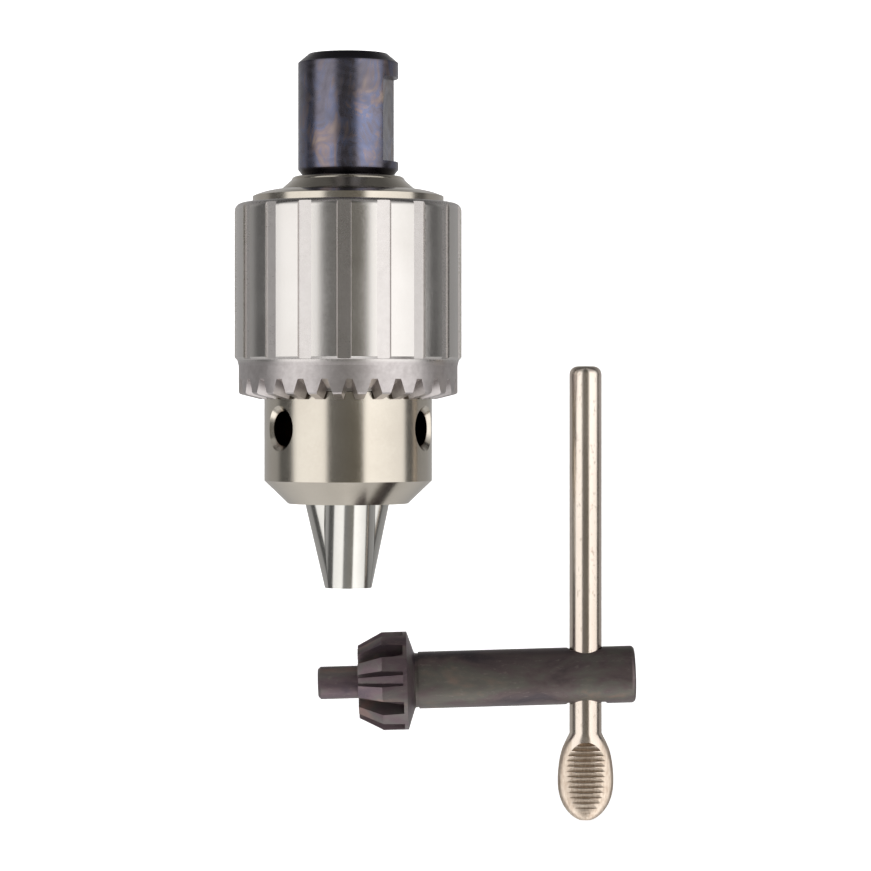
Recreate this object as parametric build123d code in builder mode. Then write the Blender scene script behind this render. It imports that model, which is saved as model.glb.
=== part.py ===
"""Three-jaw keyed drill chuck on a straight Weldon shank, with its key.

The origin is on the spindle axis, at the middle of the shank's flat. +Z is up the shank, and the nose
points down. Heights named h are measured up from the nose face. All sizes are in millimetres.
"""
import math
import os

from build123d import *

os.makedirs("parts", exist_ok=True)

# Frame
FLAT_LOW, FLAT_HIGH = 64.8, 80.8
NOSE_Z = -(FLAT_LOW + FLAT_HIGH) / 2

# Chuck body
NOSE_R, BODY_R, NOSE_CHAMFER_H = 11.41, 15.94, 4.36
GROOVE_LOW, GROOVE_HIGH, GROOVE_R = 21.2, 31.6, 13.0
COLLAR_R, COLLAR_TOP = 18.15, 58.35
CONE_FOOT_R, CONE_FOOT_H = 12.85, 59.6
TAIL_H, TAIL_ROUND_R, TAIL_ROUND_H, TAIL_FACE_R = 62.1, 10.8, 61.4, 10.0
DOME_ARC_R, TAIL_ARC_R = 14.0, 0.9
CENTRE_BORE_R, CENTRE_BORE_TOP = 5.2, 40.0
STUD_R, STUD_BOTTOM = 6.35, 45.0

# Jaws
JAW_COUNT, JAW_R, JAW_TILT = 3, 4.8, 14.5
JAW_BORE_R, JAW_BORE_TOP, JAW_BORE_START = 4.86, 45.5, 8.0
JAW_TIP_H, JAW_TAIL_H = -16.0, 25.35
JAW_AXIS_R, JAW_AXIS_H = 3.19, -1.6
JAW_GAP, JAW_WEDGE_REACH, JAW_APEX_CUT, JAW_WEDGE_HALF = 0.05, 30.0, 0.5, math.radians(60)
FIRST_JAW = 7.2
JAW_STRETCH = 1 / math.cos(math.radians(JAW_TILT))
JAW_TAPER = math.tan(math.radians(JAW_TILT))
THREAD_PITCH, THREAD_DEPTH, THREAD_START, THREAD_FLOOR = 2.0, 0.55, 3.0, 0.35
THREAD_SLOPE, THREAD_OVERSHOOT = 0.55, 0.9

# Key holes
KEY_HOLE_R, KEY_HOLE_H, KEY_HOLE_FLOOR = 3.3, 14.3, 8.6
COUNTERSINK_R, COUNTERSINK_START, COUNTERSINK_END, CUTTER_REACH = 4.65, 14.84, 16.34, 17.94

# Sleeve and its crown gear
SLEEVE_R, SLEEVE_LOW, SLEEVE_TOP, SLEEVE_ROUND = 21.57, 27.2, 57.0, 1.5
GEAR_R, GEAR_TEETH, FIRST_TOOTH = 20.8, 28, -4.2
GEAR_TIP_CHAMFER, GEAR_NECK, SLEEVE_FOOT = 0.3, 1.1, 0.5
GEAR_BORE_R, SEAT_R, CAVITY_R, CAVITY_TOP = 16.65, 18.1, 20.1, 45.0
TOOTH_TIP_OUT, TOOTH_TIP_IN = 20.75, 19.8
TOOTH_ROOT_OUT, TOOTH_ROOT_IN = 23.8, 21.6
SLEEVE_BORE_R, SLEEVE_BORE_CHAMFER = 18.2, 0.3
GAP_IN_REACH, GAP_IN_ROOT_HALF, GAP_IN_MOUTH_HALF, GAP_IN_MOUTH = 0.5, 0.35, 1.35, 18.8
GAP_OUT_REACH, GAP_OUT_ROOT_HALF, GAP_OUT_MOUTH_HALF, GAP_OUT_MOUTH = 0.5, 0.6, 2.1, 19.55
FLUTE_COUNT, FLUTE_WIDTH, FLUTE_DEPTH, FIRST_FLUTE = 18, 2.45, 0.4, -0.5
FLUTE_OVERRUN, FLUTE_SIDE_SLOPE = 1.2, 20

# Split nut
NUT_SKIRT_R, NUT_SKIRT_LOW = 16.6, 21.3
NUT_FLANGE_LOW, NUT_HIGH, NUT_SPLIT = 24.6, 31.5, 0.2
NUT_CLEARANCE, NUT_GROOVES, NUT_GROOVE_DEPTH = 0.12, 5, 0.55

# Weldon shank
SHANK_R, SHANK_TOP, SHANK_TOP_R = 9.525, 85.4, 7.5
STUD_CLEARANCE, STUD_END_GAP, STUD_CHAMFER = 0.05, 0.3, 0.8
SHANK_FOOT_R, SHANK_FOOT_TOP, SHANK_SHOULDER = 8.5, 63.4, 83.7
FLAT_OFFSET, FLAT_ANGLE, SHANK_SEAM = 7.8, 80.0, 67.5

# Key
KEY_H, KEY_TILT = -34.0, 1.65
PILOT_R, PILOT_START, PILOT_CHAMFER, PINION_START = 3.1, -5.7, 0.5, 2.0
NECK_DEPTH, NECK_EDGE, NECK_END, KEY_END_ROUND = 0.25, 12.8, 13.4, 0.8
PINION_FRONT_R, PINION_R, PINION_CONE_END, PINION_RIM = 6.9, 9.3, 6.6, 11.3
PINION_TEETH, FIRST_SLOT, PINION_SLOT_END = 10, 11.0, 10.6
SLOT_MOUTH_R, SLOT_LEAD_IN = 9.9, 0.1
SLOT_FRONT_FLOOR_R, SLOT_FRONT_FLOOR_HALF, SLOT_FRONT_MOUTH_HALF = 4.9, 0.5, 2.0
SLOT_BACK_FLOOR_R, SLOT_BACK_FLOOR_HALF, SLOT_BACK_MOUTH_HALF = 7.0, 0.8, 1.5
PINION_BACK_END, KEY_SHAFT_R, KEY_SHAFT_END = 12.6, 5.4, 54.5
BAR_X, BAR_R, BAR_TOP, BAR_BOTTOM = 45.15, 3.07, 26.1, -60.2
STAKE_TOP_R, STAKE_BOTTOM_R, STAKE_DEPTH = 3.5, 4.1, 0.45
BAR_DOME, THUMB_LENGTH, THUMB_HALF_WIDTH = 1.6, 16.6, 5.3
THUMB_SECTIONS = [  # height above the bar's foot, half width, half depth
    (THUMB_LENGTH, BAR_R, BAR_R), (14.7, 4.0, 2.75), (11.4, 5.0, 2.35), (8.1, THUMB_HALF_WIDTH, 2.2),
    (4.8, 5.0, 2.1), (2.3, 3.9, 1.9), (0.7, 2.4, 1.4), (0.0, 1.1, 0.8),
]
PANEL_HALF_WIDTH, PANEL_HALF_HEIGHT, PANEL_FLOOR = 4.35, 7.2, 1.6
RIDGE_COUNT, RIDGE_PITCH, RIDGE_TOP, RIDGE_DEPTH = 15, 1.0, -45.4, 0.3
NOTCH_LOW, NOTCH_HIGH, NOTCH_HALF, NOTCH_REACH = 0.45, 0.3, 0.7, 4.0


def level(h):
    """A horizontal plane at height h above the nose face."""
    return Plane.XY.offset(NOSE_Z + h)


def side_plane(azimuth):
    """The upright plane through the spindle axis, with x outwards at an azimuth from the front."""
    a = math.radians(azimuth)
    outwards = (math.sin(a), -math.cos(a), 0)
    normal = Vector(outwards).cross(Vector(0, 0, 1))
    return Plane(origin=(0, 0, NOSE_Z), x_dir=outwards, z_dir=normal)


def jaw_plane(azimuth):
    """The plane square to a jaw's tilted axis, with its origin on that axis and y towards the spindle."""
    side = side_plane(azimuth)
    tilt = math.radians(JAW_TILT)
    origin = side.from_local_coords((JAW_AXIS_R, JAW_AXIS_H, 0))
    along = side.x_dir * math.sin(tilt) + Vector(0, 0, math.cos(tilt))
    return Plane(origin=origin, x_dir=side.z_dir, z_dir=along)


def facing_out(side, r):
    """The upright plane square to a side plane's x, at radius r, with y down."""
    return Plane(origin=side.from_local_coords((r, 0, 0)), x_dir=side.z_dir, z_dir=side.x_dir)


def save(piece, name):
    piece.label = name
    export_step(piece, f"parts/{name}.step")


SIDE = side_plane(90)
JAW_AZIMUTHS = [FIRST_JAW + 120 * i for i in range(JAW_COUNT)]
KEY_HOLE_AZIMUTHS = [azimuth + 60 for azimuth in JAW_AZIMUTHS]

# Chuck body: nose, nut groove, journal with its domed collar, and tail
with BuildPart() as chuck_body:
    with BuildSketch(SIDE):
        with BuildLine():
            Polyline(
                (0, 0), (NOSE_R, 0), (BODY_R, NOSE_CHAMFER_H), (BODY_R, GROOVE_LOW),
                (GROOVE_R, GROOVE_LOW), (GROOVE_R, GROOVE_HIGH), (COLLAR_R, GROOVE_HIGH),
                (COLLAR_R, COLLAR_TOP),
            )
            RadiusArc((COLLAR_R, COLLAR_TOP), (CONE_FOOT_R, CONE_FOOT_H), -DOME_ARC_R)
            Line((CONE_FOOT_R, CONE_FOOT_H), (TAIL_ROUND_R, TAIL_ROUND_H))
            RadiusArc((TAIL_ROUND_R, TAIL_ROUND_H), (TAIL_FACE_R, TAIL_H), -TAIL_ARC_R)
            Polyline((TAIL_FACE_R, TAIL_H), (0, TAIL_H), (0, 0))
        make_face()
    revolve(axis=Axis.Z)
    with BuildSketch(level(0)):
        Circle(CENTRE_BORE_R)
    extrude(amount=CENTRE_BORE_TOP, mode=Mode.SUBTRACT)
    with BuildSketch(level(STUD_BOTTOM)):
        Circle(STUD_R)
    extrude(amount=TAIL_H - STUD_BOTTOM, mode=Mode.SUBTRACT)
    for azimuth in JAW_AZIMUTHS:
        with BuildSketch(jaw_plane(azimuth).offset(-JAW_BORE_START)):
            Circle(JAW_BORE_R)
        extrude(amount=JAW_BORE_START + (JAW_BORE_TOP - JAW_AXIS_H) * JAW_STRETCH, mode=Mode.SUBTRACT)
    for azimuth in KEY_HOLE_AZIMUTHS:
        with BuildSketch(side_plane(azimuth)):
            with BuildLine():
                Polyline(
                    (KEY_HOLE_FLOOR, KEY_HOLE_H), (KEY_HOLE_FLOOR, KEY_HOLE_H + KEY_HOLE_R),
                    (COUNTERSINK_START, KEY_HOLE_H + KEY_HOLE_R),
                    (COUNTERSINK_END, KEY_HOLE_H + COUNTERSINK_R),
                    (CUTTER_REACH, KEY_HOLE_H + COUNTERSINK_R), (CUTTER_REACH, KEY_HOLE_H), close=True,
                )
            make_face()
        hole_plane = side_plane(azimuth)
        hole_axis = Axis(hole_plane.from_local_coords((0, KEY_HOLE_H, 0)), hole_plane.x_dir)
        revolve(axis=hole_axis, mode=Mode.SUBTRACT)
save(chuck_body.part, "chuck_body")

# Sleeve: gear band, nut seat, cavity for the jaw tails, and the fluted grip
with BuildPart() as sleeve:
    with BuildSketch(SIDE):
        with BuildLine():
            Polyline(
                (GEAR_BORE_R, TOOTH_TIP_IN), (GEAR_R - GEAR_TIP_CHAMFER, TOOTH_TIP_OUT),
                (GEAR_R, TOOTH_TIP_OUT + GEAR_TIP_CHAMFER), (GEAR_R, SLEEVE_LOW - GEAR_NECK),
                (SLEEVE_R - SLEEVE_FOOT, SLEEVE_LOW), (SLEEVE_R, SLEEVE_LOW + SLEEVE_FOOT),
                (SLEEVE_R, SLEEVE_TOP - SLEEVE_ROUND),
            )
            RadiusArc(
                (SLEEVE_R, SLEEVE_TOP - SLEEVE_ROUND), (SLEEVE_R - SLEEVE_ROUND, SLEEVE_TOP), -SLEEVE_ROUND
            )
            Polyline(
                (SLEEVE_R - SLEEVE_ROUND, SLEEVE_TOP), (SLEEVE_BORE_R + SLEEVE_BORE_CHAMFER, SLEEVE_TOP),
                (SLEEVE_BORE_R, SLEEVE_TOP - SLEEVE_BORE_CHAMFER), (SLEEVE_BORE_R, CAVITY_TOP),
                (CAVITY_R, CAVITY_TOP),
                (CAVITY_R, GROOVE_HIGH), (SEAT_R, GROOVE_HIGH), (SEAT_R, NUT_FLANGE_LOW),
                (GEAR_BORE_R, NUT_FLANGE_LOW), (GEAR_BORE_R, TOOTH_TIP_IN),
            )
        make_face()
    revolve(axis=Axis.Z)
    for i in range(GEAR_TEETH):
        gap = side_plane(FIRST_TOOTH + 360 / GEAR_TEETH * (i + 0.5))
        for r, root, root_half, mouth, mouth_half in (
            (GEAR_BORE_R - GAP_IN_REACH, TOOTH_ROOT_IN, GAP_IN_ROOT_HALF, GAP_IN_MOUTH, GAP_IN_MOUTH_HALF),
            (GEAR_R + GAP_OUT_REACH, TOOTH_ROOT_OUT, GAP_OUT_ROOT_HALF, GAP_OUT_MOUTH, GAP_OUT_MOUTH_HALF),
        ):
            with BuildSketch(facing_out(gap, r)):
                with BuildLine():
                    Polyline(
                        (-root_half, -root), (root_half, -root), (mouth_half, -mouth),
                        (-mouth_half, -mouth), close=True,
                    )
                make_face()
        loft(ruled=True, mode=Mode.SUBTRACT)
    for i in range(FLUTE_COUNT):
        flute = side_plane(FIRST_FLUTE + 360 / FLUTE_COUNT * i)
        with BuildSketch(facing_out(flute, SLEEVE_R - FLUTE_DEPTH)):
            with Locations((0, -(SLEEVE_LOW + SLEEVE_TOP) / 2)):
                SlotOverall(SLEEVE_TOP - SLEEVE_LOW + FLUTE_OVERRUN, FLUTE_WIDTH, rotation=90)
        extrude(amount=SLEEVE_ROUND, taper=-FLUTE_SIDE_SLOPE, mode=Mode.SUBTRACT)
save(sleeve.part, "sleeve")

# Split nut: two halves of one ring with a conical bore, pressed into the sleeve's seat
jaw_back = JAW_AXIS_R + JAW_R * JAW_STRETCH - JAW_TAPER * JAW_AXIS_H
nut_bore_low = jaw_back + JAW_TAPER * NUT_SKIRT_LOW + NUT_CLEARANCE
for i in range(2):
    with BuildPart() as nut_half:
        with BuildSketch(SIDE):
            with BuildLine():
                bore = []
                for k in range(NUT_GROOVES):
                    foot = k * THREAD_PITCH
                    crest_r = nut_bore_low + JAW_TAPER * foot
                    bore.append((crest_r, NUT_SKIRT_LOW + foot))
                    bore.append((crest_r + NUT_GROOVE_DEPTH, NUT_SKIRT_LOW + foot + THREAD_PITCH / 2))
                top_r = nut_bore_low + JAW_TAPER * (NUT_HIGH - NUT_SKIRT_LOW)
                bore.append((top_r, NUT_HIGH))
                outside = [
                    (SEAT_R, NUT_HIGH), (SEAT_R, NUT_FLANGE_LOW), (NUT_SKIRT_R, NUT_FLANGE_LOW),
                    (NUT_SKIRT_R, NUT_SKIRT_LOW),
                ]
                Polyline(*bore, *outside, close=True)
            make_face()
        revolve(axis=Axis.Z)
        side = 1 - 2 * i
        split(bisect_by=Plane(origin=(0, side * NUT_SPLIT / 2, 0), z_dir=(0, side, 0)), keep=Keep.TOP)
    save(nut_half.part, f"nut_half_{i + 1}")

# Jaws: tilted round bars, cut to a 120 degree wedge that meets on the spindle axis, threaded on the back
for i, azimuth in enumerate(JAW_AZIMUTHS):
    with BuildPart() as jaw:
        with BuildSketch(jaw_plane(azimuth).offset((JAW_TIP_H - JAW_AXIS_H) * JAW_STRETCH - JAW_R)):
            Circle(JAW_R)
        extrude(amount=(JAW_TAIL_H - JAW_TIP_H) * JAW_STRETCH + 2 * JAW_R)
        wedge_low = level(JAW_TIP_H)
        outwards = side_plane(azimuth).x_dir
        with BuildSketch(Plane(origin=wedge_low.origin, x_dir=outwards, z_dir=(0, 0, 1))):
            with BuildLine():
                apex = JAW_GAP / math.sin(JAW_WEDGE_HALF)
                slope = math.tan(JAW_WEDGE_HALF)
                cut_half = slope * (JAW_APEX_CUT - apex)
                far_half = slope * (JAW_WEDGE_REACH - apex)
                Polyline(
                    (JAW_APEX_CUT, -cut_half), (JAW_WEDGE_REACH, -far_half), (JAW_WEDGE_REACH, far_half),
                    (JAW_APEX_CUT, cut_half), close=True,
                )
            make_face()
        extrude(amount=JAW_TAIL_H - JAW_TIP_H, mode=Mode.INTERSECT)
        thread_start = THREAD_START + THREAD_PITCH * i / JAW_COUNT
        thread_turns = int((JAW_TAIL_H - thread_start) / THREAD_PITCH)
        with BuildSketch(side_plane(azimuth)):
            for k in range(thread_turns):
                foot = thread_start + k * THREAD_PITCH
                crest_r = jaw_back + JAW_TAPER * foot
                floor_r = crest_r - THREAD_DEPTH
                floor_low = foot + THREAD_SLOPE
                with BuildLine():
                    Polyline(
                        (crest_r + THREAD_OVERSHOOT, foot - THREAD_SLOPE), (floor_r, floor_low),
                        (floor_r, floor_low + THREAD_FLOOR),
                        (crest_r + THREAD_OVERSHOOT, floor_low + THREAD_FLOOR + 2 * THREAD_SLOPE), close=True,
                    )
                make_face()
        revolve(axis=Axis.Z, mode=Mode.SUBTRACT)
    save(jaw.part, f"jaw_{i + 1}")

# Straight shank with one set-screw flat, screwed into the body's tail
stud_r = STUD_R - STUD_CLEARANCE
stud_low = STUD_BOTTOM + STUD_END_GAP
with BuildPart() as weldon_shank:
    with BuildSketch(side_plane(FLAT_ANGLE + SHANK_SEAM)):
        with BuildLine():
            Polyline(
                (0, stud_low), (stud_r - STUD_CHAMFER, stud_low), (stud_r, stud_low + STUD_CHAMFER),
                (stud_r, TAIL_H), (SHANK_FOOT_R, TAIL_H), (SHANK_R, SHANK_FOOT_TOP),
                (SHANK_R, SHANK_SHOULDER), (SHANK_TOP_R, SHANK_TOP), (0, SHANK_TOP), close=True,
            )
        make_face()
    revolve(axis=Axis.Z)
    flat = side_plane(FLAT_ANGLE)
    with BuildSketch(facing_out(flat, FLAT_OFFSET)):
        with Locations((0, -(FLAT_LOW + FLAT_HIGH) / 2)):
            Rectangle(2 * SHANK_R, FLAT_HIGH - FLAT_LOW)
    extrude(amount=SHANK_R, mode=Mode.SUBTRACT)
save(weldon_shank.part, "weldon_shank")

# Key: its own plane has x along the key's axis, y up, and its origin below the chuck's nose
tilt = math.radians(KEY_TILT)
KEY = Plane(origin=(0, 0, NOSE_Z + KEY_H), x_dir=(math.cos(tilt), 0, math.sin(tilt)), z_dir=(0, -1, 0))
KEY_AXIS = Axis(KEY.origin, KEY.x_dir)
BAR = Plane(origin=KEY.from_local_coords((BAR_X, 0, 0)), x_dir=(1, 0, 0), z_dir=(0, -1, 0))
BAR_CENTRE_H = BAR.origin.Z - NOSE_Z


def across_key(x, turn=0):
    """The plane square to the key's axis at x, looking along it, with y up at turn 0."""
    a = math.radians(turn)
    sideways = KEY.z_dir * -math.cos(a) + KEY.y_dir * math.sin(a)
    return Plane(origin=KEY.from_local_coords((x, 0, 0)), x_dir=sideways, z_dir=KEY.x_dir)


round_start = KEY_SHAFT_END - KEY_END_ROUND
with BuildPart() as key_shaft:
    with BuildSketch(KEY):
        with BuildLine():
            Polyline(
                (PILOT_START, 0), (PILOT_START, PILOT_R - PILOT_CHAMFER),
                (PILOT_START + PILOT_CHAMFER, PILOT_R),
                (PINION_START, PILOT_R), (PINION_START, PINION_FRONT_R), (PINION_CONE_END, PINION_R),
                (PINION_RIM, PINION_R), (PINION_BACK_END, KEY_SHAFT_R), (NECK_EDGE, KEY_SHAFT_R - NECK_DEPTH),
                (NECK_END, KEY_SHAFT_R - NECK_DEPTH), (NECK_END, KEY_SHAFT_R), (round_start, KEY_SHAFT_R),
            )
            RadiusArc((round_start, KEY_SHAFT_R), (KEY_SHAFT_END, KEY_SHAFT_R - KEY_END_ROUND), KEY_END_ROUND)
            Polyline((KEY_SHAFT_END, KEY_SHAFT_R - KEY_END_ROUND), (KEY_SHAFT_END, 0), (PILOT_START, 0))
        make_face()
    revolve(axis=KEY_AXIS)
    for i in range(PINION_TEETH):
        turn = FIRST_SLOT + 360 / PINION_TEETH * i
        for x, floor_r, floor_half, mouth_half in (
            (PINION_START - SLOT_LEAD_IN, SLOT_FRONT_FLOOR_R, SLOT_FRONT_FLOOR_HALF, SLOT_FRONT_MOUTH_HALF),
            (PINION_SLOT_END, SLOT_BACK_FLOOR_R, SLOT_BACK_FLOOR_HALF, SLOT_BACK_MOUTH_HALF),
        ):
            with BuildSketch(across_key(x, turn)):
                with BuildLine():
                    Polyline(
                        (-floor_half, floor_r), (floor_half, floor_r), (mouth_half, SLOT_MOUTH_R),
                        (-mouth_half, SLOT_MOUTH_R), close=True,
                    )
                make_face()
        loft(ruled=True, mode=Mode.SUBTRACT)
    below = BAR.from_local_coords((0, -2 * KEY_SHAFT_R, 0))
    with BuildSketch(Plane(origin=below, x_dir=BAR.x_dir, z_dir=BAR.y_dir)):
        Circle(BAR_R)
    extrude(amount=4 * KEY_SHAFT_R, mode=Mode.SUBTRACT)
    for side, stake_r in ((1, STAKE_TOP_R), (-1, STAKE_BOTTOM_R)):
        spot = KEY.from_local_coords((BAR_X, side * (KEY_SHAFT_R - STAKE_DEPTH), 0))
        with BuildSketch(Plane(origin=spot, x_dir=KEY.x_dir, z_dir=KEY.y_dir * side)):
            Circle(stake_r)
        extrude(amount=KEY_SHAFT_R, mode=Mode.SUBTRACT)
save(key_shaft.part, "key_shaft")


def across_bar(y):
    """The plane square to the cross bar at y above the key's axis, facing down."""
    return Plane(origin=BAR.from_local_coords((0, y, 0)), x_dir=BAR.x_dir, z_dir=-BAR.y_dir)


bar_top, bar_bottom = BAR_TOP - BAR_CENTRE_H, BAR_BOTTOM - BAR_CENTRE_H

# The thumb end's ribs: notches along x, kept inside an oval panel on each face
with BuildPart() as notches:
    left = BAR.from_local_coords((-PANEL_HALF_WIDTH - 1, 0, 0))
    with BuildSketch(Plane(origin=left, x_dir=(0, 1, 0), z_dir=BAR.x_dir)):
        for side in (-1, 1):
            for k in range(RIDGE_COUNT):
                y = RIDGE_TOP - BAR_CENTRE_H - k * RIDGE_PITCH
                with BuildLine():
                    Polyline(
                        (side * PANEL_FLOOR, y - NOTCH_LOW), (side * NOTCH_REACH, y - NOTCH_HALF),
                        (side * NOTCH_REACH, y + NOTCH_HALF),
                        (side * (PANEL_FLOOR + RIDGE_DEPTH), y + NOTCH_HIGH), close=True,
                    )
                make_face()
    extrude(amount=2 * PANEL_HALF_WIDTH + 2)
    with BuildSketch(BAR.offset(-NOTCH_REACH)):
        with Locations((0, RIDGE_TOP - BAR_CENTRE_H - (RIDGE_COUNT - 1) / 2 * RIDGE_PITCH)):
            Ellipse(PANEL_HALF_WIDTH, PANEL_HALF_HEIGHT)
    extrude(amount=2 * NOTCH_REACH, mode=Mode.INTERSECT)

# Cross bar: a domed round bar, pressed out to a flat oval thumb end
with BuildPart() as key_bar:
    with BuildSketch(across_bar(bar_top)):
        Circle(BAR_R)
    extrude(amount=bar_top - bar_bottom - THUMB_LENGTH)
    fillet(key_bar.faces().sort_by(Axis.Z)[-1].edges(), radius=BAR_DOME)
    for up, half_width, half_depth in THUMB_SECTIONS:
        with BuildSketch(across_bar(bar_bottom + up)):
            Ellipse(half_width, half_depth)
    loft()
    add(notches.part, mode=Mode.SUBTRACT)
save(key_bar.part, "key_bar")
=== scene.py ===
"""A keyed drill chuck and its key: materials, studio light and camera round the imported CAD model."""
import math

import bpy
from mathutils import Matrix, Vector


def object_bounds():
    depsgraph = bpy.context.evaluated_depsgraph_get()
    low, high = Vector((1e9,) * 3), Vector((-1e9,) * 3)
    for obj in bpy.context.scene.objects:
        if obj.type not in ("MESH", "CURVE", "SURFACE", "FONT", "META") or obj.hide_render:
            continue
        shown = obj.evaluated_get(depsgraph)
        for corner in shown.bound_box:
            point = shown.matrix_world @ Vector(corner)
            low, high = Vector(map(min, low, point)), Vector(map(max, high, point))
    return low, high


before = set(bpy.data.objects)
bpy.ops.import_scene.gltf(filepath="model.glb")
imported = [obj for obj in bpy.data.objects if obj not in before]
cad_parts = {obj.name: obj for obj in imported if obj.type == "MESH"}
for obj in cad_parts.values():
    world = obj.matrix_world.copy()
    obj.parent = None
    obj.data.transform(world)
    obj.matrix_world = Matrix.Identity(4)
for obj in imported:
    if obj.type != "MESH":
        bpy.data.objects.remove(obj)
cad_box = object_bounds()

# Sizes and heights, in metres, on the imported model
MM = 0.001
NOSE_Z = -72.8 * MM
BODY_R = 15.94 * MM
SLEEVE_R = 21.57 * MM
HOLLOW_R = BODY_R - 0.9 * MM
HOLLOW_LOW = NOSE_Z + 5 * MM
HOLLOW_HIGH = NOSE_Z + 50 * MM
GEAR_BAND_TOP = NOSE_Z + 26.9 * MM
FLUTE_R = SLEEVE_R - 0.15 * MM
SHANK_CHAMFER_LOW = NOSE_Z + 63.4 * MM
SHANK_CHAMFER_HIGH = NOSE_Z + 83.7 * MM
PINION_END = 12.4 * MM
RIBS_TOP = NOSE_Z - 45.0 * MM
RIB_DEPTH = 1.95 * MM

# Shares and depths of the surface textures
SPECKLE_SHARE = 0.25
BLASTED, TURNED = 0.35, 0.3
FLUTE_MATT, BAND_ROUGHNESS = 0.45, 0.38
FINE_RELIEF, FORGED_RELIEF = 0.00003, 0.00006

# Studio and camera
BRIGHTEST = 2.0
DIM_TINT, PALE_TINT, DIM_HALF_ANGLE = (1.0, 0.92, 0.76), (1.0, 0.99, 0.985), 25
BANDS = (
    (-180, 0.52), (-112, 0.46), (-104, 0.14), (-82, 0.14), (-76, 1.50), (-30, 1.62), (-25, 0.22),
    (20, 0.20), (25, 1.90), (84, 1.45), (88, 0.14), (104, 0.14), (112, 0.40), (180, 0.52),
)
FLOOR_WIDTH, FLOOR_FRONT, FLOOR_BACK, FLOOR_BEND, BACKDROP_TOP = 4.0, -1.6, 1.4, 0.5, 2.0
BEND_STEPS = 12
SCALE = 5.258 / MM
IMAGE = 871
DISTANCE = 0.620


# Node helpers


def new_material(name):
    """A new material, with its node tree and its shader."""
    material = bpy.data.materials.new(name)
    material.use_nodes = True
    tree = material.node_tree
    return material, tree, tree.nodes["Principled BSDF"]


def add(tree, kind, **settings):
    node = tree.nodes.new(kind)
    for key, value in settings.items():
        setattr(node, key, value)
    return node


def fill(tree, socket, value):
    """Put a number, a colour or another node's output into a socket."""
    if isinstance(value, tuple):
        socket.default_value = (*value, 1)
    elif isinstance(value, (int, float)):
        socket.default_value = value
    else:
        tree.links.new(value, socket)


def math_node(tree, operation, a, b=None):
    node = add(tree, "ShaderNodeMath", operation=operation)
    for socket, value in zip(node.inputs, (a, b)):
        if value is not None:
            fill(tree, socket, value)
    return node.outputs[0]


def total(tree, a, b):
    return math_node(tree, "ADD", a, b)


def times(tree, a, b):
    return math_node(tree, "MULTIPLY", a, b)


def opposite(tree, value):
    return math_node(tree, "SUBTRACT", 1, value)


def place(tree, stretch=(1, 1, 1)):
    """The model's own coordinates in metres, stretched."""
    coordinates = add(tree, "ShaderNodeTexCoord")
    mapping = add(tree, "ShaderNodeMapping")
    mapping.inputs["Scale"].default_value = stretch
    tree.links.new(coordinates.outputs["Object"], mapping.inputs["Vector"])
    return mapping.outputs["Vector"]


def split_place(tree):
    """The model's coordinates as separate X, Y and Z outputs."""
    split = add(tree, "ShaderNodeSeparateXYZ")
    tree.links.new(place(tree), split.inputs[0])
    return split.outputs


def noise(tree, scale, detail=4.0, stretch=(1, 1, 1), roughness=0.6, distortion=0.0):
    node = add(tree, "ShaderNodeTexNoise")
    node.inputs["Scale"].default_value = scale
    node.inputs["Detail"].default_value = detail
    node.inputs["Roughness"].default_value = roughness
    node.inputs["Distortion"].default_value = distortion
    tree.links.new(place(tree, stretch), node.inputs["Vector"])
    return node.outputs["Fac"]


def ramp(tree, factor, stops):
    """A colour ramp from (position, colour) stops."""
    node = add(tree, "ShaderNodeValToRGB")
    elements = node.color_ramp.elements
    elements.remove(elements[1])
    elements[0].position = stops[0][0]
    elements[0].color = (*stops[0][1], 1)
    for position, colour in stops[1:]:
        elements.new(position).color = (*colour, 1)
    tree.links.new(factor, node.inputs["Fac"])
    return node.outputs["Color"]


def two_tone(tree, factor, dark, light):
    return ramp(tree, factor, ((0.3, dark), (0.7, light)))


def spread(tree, factor, low, high, start=0.3, end=0.7):
    """A number from low to high as factor goes from start to end."""
    node = add(tree, "ShaderNodeMapRange")
    node.inputs["From Min"].default_value = start
    node.inputs["From Max"].default_value = end
    node.inputs["To Min"].default_value = low
    node.inputs["To Max"].default_value = high
    tree.links.new(factor, node.inputs["Value"])
    return node.outputs["Result"]


def mix(tree, factor, a, b, blend="MIX"):
    """A mix of two colours."""
    node = add(tree, "ShaderNodeMix", data_type="RGBA", blend_type=blend)
    for number, value in ((0, factor), (6, a), (7, b)):
        fill(tree, node.inputs[number], value)
    return node.outputs[2]


def mix_number(tree, factor, a, b):
    node = add(tree, "ShaderNodeMix", data_type="FLOAT")
    for number, value in ((0, factor), (2, a), (3, b)):
        fill(tree, node.inputs[number], value)
    return node.outputs[0]


def above(tree, height, soft=0.4 * MM):
    """1 above a height on the spindle axis and 0 below it."""
    return spread(tree, split_place(tree)["Z"], 0, 1, height - soft, height + soft)


def below(tree, height):
    return opposite(tree, above(tree, height))


def inside(tree, radius, soft=0.3 * MM):
    """1 nearer the spindle axis than radius, and 0 outside it."""
    split = split_place(tree)
    flat = add(tree, "ShaderNodeCombineXYZ")
    tree.links.new(split["X"], flat.inputs["X"])
    tree.links.new(split["Y"], flat.inputs["Y"])
    length = add(tree, "ShaderNodeVectorMath", operation="LENGTH")
    tree.links.new(flat.outputs[0], length.inputs[0])
    return spread(tree, length.outputs["Value"], 1, 0, radius - soft, radius + soft)


def bump(tree, shader, height, strength, distance):
    node = add(tree, "ShaderNodeBump")
    node.inputs["Strength"].default_value = strength
    node.inputs["Distance"].default_value = distance
    tree.links.new(height, node.inputs["Height"])
    tree.links.new(node.outputs["Normal"], shader.inputs["Normal"])


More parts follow.
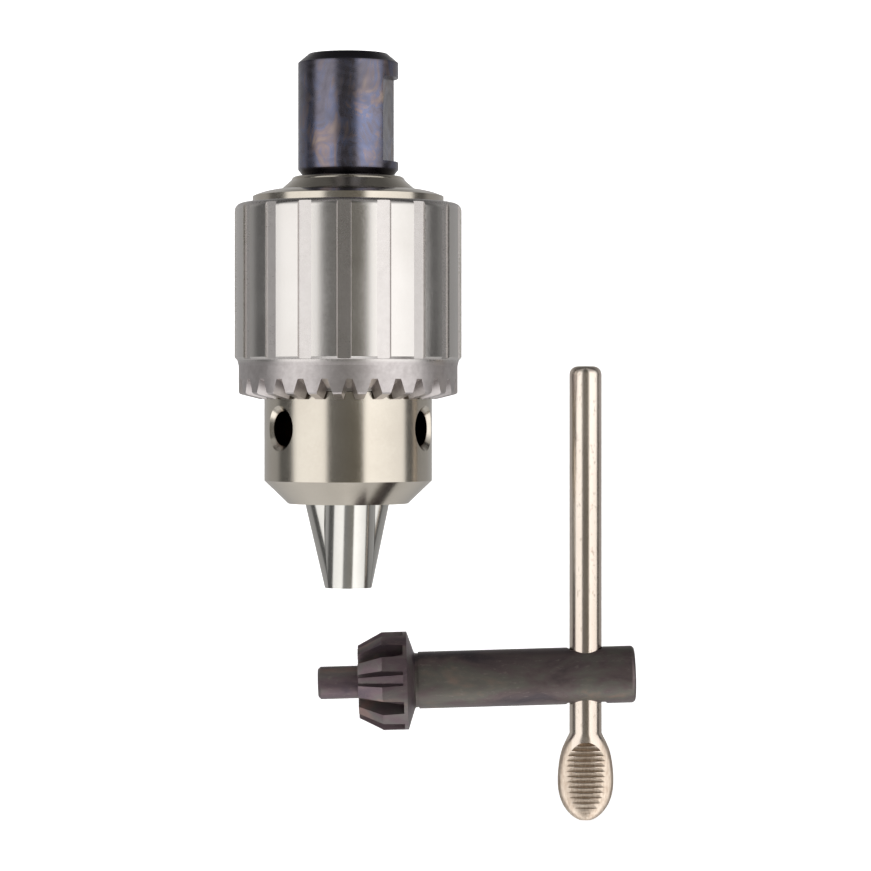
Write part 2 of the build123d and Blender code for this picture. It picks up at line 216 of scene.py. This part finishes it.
def set_metal(shader, metallic=1.0, anisotropic=0.0):
    shader.inputs["Metallic"].default_value = metallic
    shader.inputs["Anisotropic"].default_value = anisotropic


def finish_material(tree, shader, colour, roughness):
    tree.links.new(colour, shader.inputs["Base Color"])
    tree.links.new(roughness, shader.inputs["Roughness"])


def satin(name, dark, light, rough):
    """Ground steel: fine blasted speckle over faint turning rings, with slow cloudy changes of tone."""
    material, tree, shader = new_material(name)
    speckle = noise(tree, 2600, 3, roughness=0.7)
    rings = noise(tree, 900, 2, stretch=(0.04, 0.04, 3.0))
    clouds = noise(tree, 45, 3)
    tone = two_tone(tree, clouds, dark, light)
    colour = mix(tree, SPECKLE_SHARE, tone, two_tone(tree, speckle, dark, light))
    grain = total(tree, times(tree, speckle, BLASTED), times(tree, rings, TURNED))
    slow = spread(tree, clouds, rough - 0.03, rough + 0.04)
    roughness = total(tree, slow, spread(tree, speckle, -0.03, 0.03))
    bump(tree, shader, grain, 0.25, FINE_RELIEF)
    set_metal(shader, anisotropic=0.3)
    return material, tree, shader, colour, roughness


# Materials


def body_material():
    """Warm satin steel, browned inside the key holes, jaw bores and centre bore."""
    material, tree, shader, colour, roughness = satin(
        "body_steel", (0.46, 0.42, 0.36), (0.60, 0.56, 0.49), 0.17
    )
    hollow = times(tree, inside(tree, HOLLOW_R), above(tree, HOLLOW_LOW))
    hollow = times(tree, hollow, below(tree, HOLLOW_HIGH))
    brown = two_tone(tree, noise(tree, 400, 4), (0.06, 0.04, 0.03), (0.20, 0.13, 0.08))
    finish_material(tree, shader, mix(tree, hollow, colour, brown), roughness)
    return material


def sleeve_material():
    """Satin steel grip, with a greyer, slightly pink, duller finish in its flutes and on its gear band."""
    material, tree, shader, colour, roughness = satin(
        "sleeve_steel", (0.52, 0.50, 0.475), (0.64, 0.62, 0.60), 0.20
    )
    flutes = times(tree, inside(tree, FLUTE_R, 0.08 * MM), FLUTE_MATT)
    matt = math_node(tree, "MAXIMUM", below(tree, GEAR_BAND_TOP), flutes)
    grey = two_tone(tree, noise(tree, 700, 5, roughness=0.7), (0.42, 0.39, 0.385), (0.54, 0.51, 0.505))
    rough = mix_number(tree, matt, roughness, BAND_ROUGHNESS)
    finish_material(tree, shader, mix(tree, matt, colour, grey), rough)
    return material


def plain_satin(name, dark, light, rough):
    """Ground steel with nothing added, for the jaws and the nut."""
    material, tree, shader, colour, roughness = satin(name, dark, light, rough)
    finish_material(tree, shader, colour, roughness)
    return material


def shank_material():
    """Black oxide over a ground shank: blue, mauve and tan handling stains, darker chamfers, swirls."""
    material, tree, shader = new_material("shank_oxide")
    stain = noise(tree, 190, 6, stretch=(1, 1, 0.55), distortion=1.8)
    patches = noise(tree, 60, 3, distortion=0.6)
    oxide = ramp(tree, stain, (
        (0.30, (0.10, 0.095, 0.12)), (0.42, (0.16, 0.15, 0.19)), (0.50, (0.15, 0.17, 0.27)),
        (0.58, (0.25, 0.20, 0.21)), (0.70, (0.40, 0.31, 0.25)),
    ))
    stained = spread(tree, patches, 0.15, 1.0, 0.4, 0.6)
    colour = mix(tree, stained, (0.115, 0.108, 0.128), oxide)
    ends = total(tree, below(tree, SHANK_CHAMFER_LOW), above(tree, SHANK_CHAMFER_HIGH))
    colour = mix(tree, ends, colour, (0.035, 0.032, 0.040))
    swirls = add(tree, "ShaderNodeTexWave", wave_type="RINGS", rings_direction="SPHERICAL")
    swirls.inputs["Scale"].default_value = 260
    swirls.inputs["Distortion"].default_value = 9
    swirls.inputs["Detail"].default_value = 3
    swirls.inputs["Detail Scale"].default_value = 0.6
    tree.links.new(place(tree), swirls.inputs["Vector"])
    lines = swirls.outputs["Fac"]
    roughness = total(tree, spread(tree, stain, 0.20, 0.32), spread(tree, lines, 0, 0.06, 0, 1))
    relief = total(tree, noise(tree, 2200, 3), times(tree, lines, 0.4))
    bump(tree, shader, relief, 0.15, FINE_RELIEF)
    set_metal(shader)
    finish_material(tree, shader, colour, roughness)
    return material


def key_material():
    """Heat-blackened forging: brown and green-grey mottling under oil, with fine pale specks that are
    painted glints, and pits.
    """
    material, tree, shader = new_material("key_oxide")
    mottle = noise(tree, 140, 5, stretch=(0.5, 1, 1), distortion=0.5)
    glint_specks = noise(tree, 1500, 4, stretch=(0.35, 1, 1), roughness=0.75)
    base = ramp(tree, mottle, (
        (0.34, (0.078, 0.066, 0.074)), (0.48, (0.132, 0.104, 0.104)), (0.58, (0.140, 0.134, 0.118)),
        (0.68, (0.215, 0.158, 0.132)),
    ))
    pinion = spread(tree, split_place(tree)["X"], 1, 0, PINION_END, PINION_END + 0.4 * MM)
    base = mix(tree, pinion, base, mix(tree, 1.0, base, (1.25, 1.18, 1.30), "MULTIPLY"))
    # The pale specks mixed into the colour here are painted glints on the forging.
    colour = mix(tree, spread(tree, glint_specks, 0, 0.6, 0.58, 0.74), base, (0.26, 0.22, 0.20))
    roughness = total(tree, spread(tree, mottle, 0.34, 0.48), spread(tree, glint_specks, -0.04, 0.08))
    bump(tree, shader, total(tree, glint_specks, times(tree, mottle, 0.6)), 0.35, FORGED_RELIEF)
    set_metal(shader, metallic=0.85)
    finish_material(tree, shader, colour, roughness)
    return material


def bar_material():
    """Bright nickel plate with fine brown specks, and tan, duller plate in the thumb end's ribs."""
    material, tree, shader = new_material("bar_nickel")
    clouds = noise(tree, 90, 3, stretch=(1, 1, 0.3))
    fine = noise(tree, 2400, 3, stretch=(1, 1, 0.3))
    plate = two_tone(tree, clouds, (0.58, 0.50, 0.43), (0.74, 0.66, 0.58))
    grit = noise(tree, 1300, 4, stretch=(1, 1, 0.4), roughness=0.75)
    plate = mix(tree, spread(tree, grit, 0, 0.55, 0.56, 0.72), plate, (0.26, 0.19, 0.14))
    tan = two_tone(tree, fine, (0.46, 0.35, 0.26), (0.76, 0.66, 0.55))
    depth = math_node(tree, "ABSOLUTE", split_place(tree)["Y"])
    face = spread(tree, depth, 1, 0, RIB_DEPTH, RIB_DEPTH + 0.15 * MM)
    ribs = times(tree, below(tree, RIBS_TOP), face)
    colour = mix(tree, times(tree, ribs, 0.75), plate, tan)
    roughness = total(tree, spread(tree, clouds, 0.17, 0.25), times(tree, ribs, 0.2))
    bump(tree, shader, fine, 0.12, FINE_RELIEF)
    set_metal(shader)
    finish_material(tree, shader, colour, roughness)
    return material


MATERIALS = {
    "chuck_body": body_material(),
    "sleeve": sleeve_material(),
    "weldon_shank": shank_material(),
    "key_shaft": key_material(),
    "key_bar": bar_material(),
}
jaw_steel = plain_satin("jaw_steel", (0.48, 0.47, 0.44), (0.62, 0.61, 0.58), 0.15)
nut_steel = plain_satin("nut_steel", (0.34, 0.32, 0.30), (0.46, 0.44, 0.41), 0.34)
for number in (1, 2, 3):
    MATERIALS[f"jaw_{number}"] = jaw_steel
for number in (1, 2):
    MATERIALS[f"nut_half_{number}"] = nut_steel
for node, material in MATERIALS.items():
    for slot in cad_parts[node].material_slots:
        slot.material = material


# Studio: a pale floor that sweeps up behind, under a ring of softboxes painted on the surroundings


def sweep(name, floor_z):
    """A floor that bends up into a backdrop."""
    bend_start = FLOOR_BACK - FLOOR_BEND
    profile = [(FLOOR_FRONT, floor_z), (bend_start, floor_z)]
    for step in range(1, BEND_STEPS + 1):
        turn = math.radians(90 * step / BEND_STEPS)
        rise = FLOOR_BEND - FLOOR_BEND * math.cos(turn)
        profile.append((bend_start + FLOOR_BEND * math.sin(turn), floor_z + rise))
    profile.append((FLOOR_BACK, BACKDROP_TOP))
    vertices = [(x, y, z) for y, z in profile for x in (-FLOOR_WIDTH / 2, FLOOR_WIDTH / 2)]
    faces = [(2 * i, 2 * i + 1, 2 * i + 3, 2 * i + 2) for i in range(len(profile) - 1)]
    mesh = bpy.data.meshes.new(name)
    mesh.from_pydata(vertices, [], faces)
    mesh.shade_smooth()
    piece = bpy.data.objects.new(name, mesh)
    bpy.context.scene.collection.objects.link(piece)
    return piece


floor = sweep("floor", cad_box[0][2] - 0.5 * MM)
floor_paint, _, floor_shader = new_material("pale_floor")
floor_shader.inputs["Base Color"].default_value = (0.93, 0.93, 0.93, 1)
floor_shader.inputs["Roughness"].default_value = 0.9
floor_shader.inputs["Emission Color"].default_value = (1, 1, 1, 1)
floor_shader.inputs["Emission Strength"].default_value = 0.6
floor.data.materials.append(floor_paint)
floor.visible_glossy = False


def studio_world():
    """Two tall softboxes in front of a dim middle, dark flags outside them and pale walls behind."""
    world = bpy.data.worlds.new("studio")
    bpy.context.scene.world = world
    world.use_nodes = True
    tree = world.node_tree
    background = tree.nodes["Background"]
    coordinates = add(tree, "ShaderNodeTexCoord")
    split = add(tree, "ShaderNodeSeparateXYZ")
    tree.links.new(coordinates.outputs["Generated"], split.inputs[0])
    forward = times(tree, split.outputs["Y"], -1)
    azimuth = math_node(tree, "ARCTAN2", split.outputs["X"], forward)
    turn = total(tree, math_node(tree, "DIVIDE", azimuth, 2 * math.pi), 0.5)
    stops = []
    for degrees, value in BANDS:
        tint = DIM_TINT if abs(degrees) < DIM_HALF_ANGLE else PALE_TINT
        stops.append(((degrees + 180) / 360, tuple(value * channel / BRIGHTEST for channel in tint)))
    bounce = spread(tree, times(tree, split.outputs["Z"], -1), 0, 0.22, 0.35, 0.9)
    overhead = spread(tree, split.outputs["Z"], 1, 0.30, 0.35, 0.8)
    colour = mix(tree, 1.0, ramp(tree, turn, stops), overhead, "MULTIPLY")
    colour = mix(tree, 1.0, colour, bounce, "ADD")
    tree.links.new(colour, background.inputs["Color"])
    background.inputs["Strength"].default_value = BRIGHTEST


studio_world()
bpy.context.scene.view_settings.view_transform = "Standard"


# Camera: level, in front, with the lens shifted down

camera_data = bpy.data.cameras.new("camera")
camera = bpy.data.objects.new("camera", camera_data)
bpy.context.scene.collection.objects.link(camera)
bpy.context.scene.camera = camera
camera.location = (16.6 * MM, -DISTANCE, NOSE_Z + 19.7 * MM)
camera.rotation_euler = (math.pi / 2, 0, 0)
camera_data.sensor_width = 36
camera_data.lens = SCALE * DISTANCE / IMAGE * camera_data.sensor_width
camera_data.shift_y = -0.041
camera_data.clip_start = 0.01
